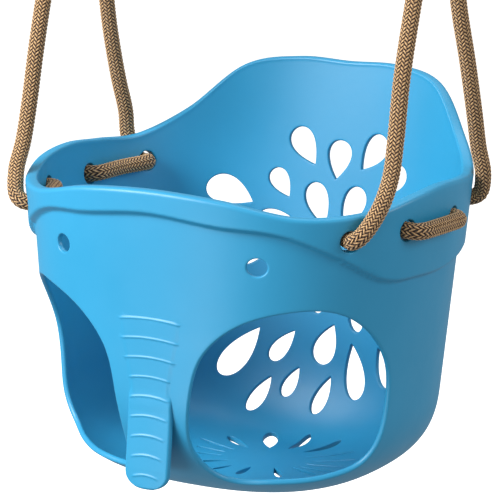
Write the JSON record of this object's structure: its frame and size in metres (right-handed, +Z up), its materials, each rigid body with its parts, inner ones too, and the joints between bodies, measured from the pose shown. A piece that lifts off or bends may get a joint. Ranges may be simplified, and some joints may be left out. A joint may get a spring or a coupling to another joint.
{
  "type": "toddler bucket swing",
  "caption": "Moulded bucket seat with leg openings, laced on both sides to a rope that rises to a ring and a quick link.",
  "frame": {"origin": "midway between the inner tops of the two quick links, where the swing hangs from its hangers", "axes": "+Z up; -Y towards the front, where the legs come out; +X towards the seated child's left, which is the right side seen from the front"},
  "size_m": [0.3916, 0.3496, 0.643],
  "materials": {
    "bucket_shell": "semi-gloss moulded",
    "left_rope": "braided rope",
    "left_link": "glossy black coating",
    "left_link_sleeve": "glossy black coating",
    "left_ring": "glossy black coating",
    "left_front_ferrule": "glossy black",
    "left_back_ferrule": "glossy black",
    "right_rope": "braided rope",
    "right_link": "glossy black coating",
    "right_link_sleeve": "glossy black coating",
    "right_ring": "glossy black coating",
    "right_front_ferrule": "glossy black",
    "right_back_ferrule": "glossy black"
  },
  "bodies": {
    "hangers": {"left_link": "left_link", "right_link": "right_link"},
    "left_sleeve": {"left_link_sleeve": "left_link_sleeve"},
    "right_sleeve": {"right_link_sleeve": "right_link_sleeve"},
    "swing": {"bucket_shell": "bucket_shell", "left_rope": "left_rope", "right_rope": "right_rope", "left_ring": "left_ring", "right_ring": "right_ring", "left_front_ferrule": "left_front_ferrule", "left_back_ferrule": "left_back_ferrule", "right_front_ferrule": "right_front_ferrule", "right_back_ferrule": "right_back_ferrule"}
  },
  "joints": [
    {"name": "swing_hinge", "type": "hinge", "parent": "hangers", "child": "swing", "pos_m": [0, 0, -0.062], "axis": [1, 0, 0], "range_deg": [-45, 45]},
    {"name": "left_sleeve_slide", "type": "slide", "parent": "hangers", "child": "left_sleeve", "axis": [0, 0, -1], "range_m": [0, 0.012]},
    {"name": "right_sleeve_slide", "type": "slide", "parent": "hangers", "child": "right_sleeve", "axis": [0, 0, -1], "range_m": [0, 0.012]}
  ]
}
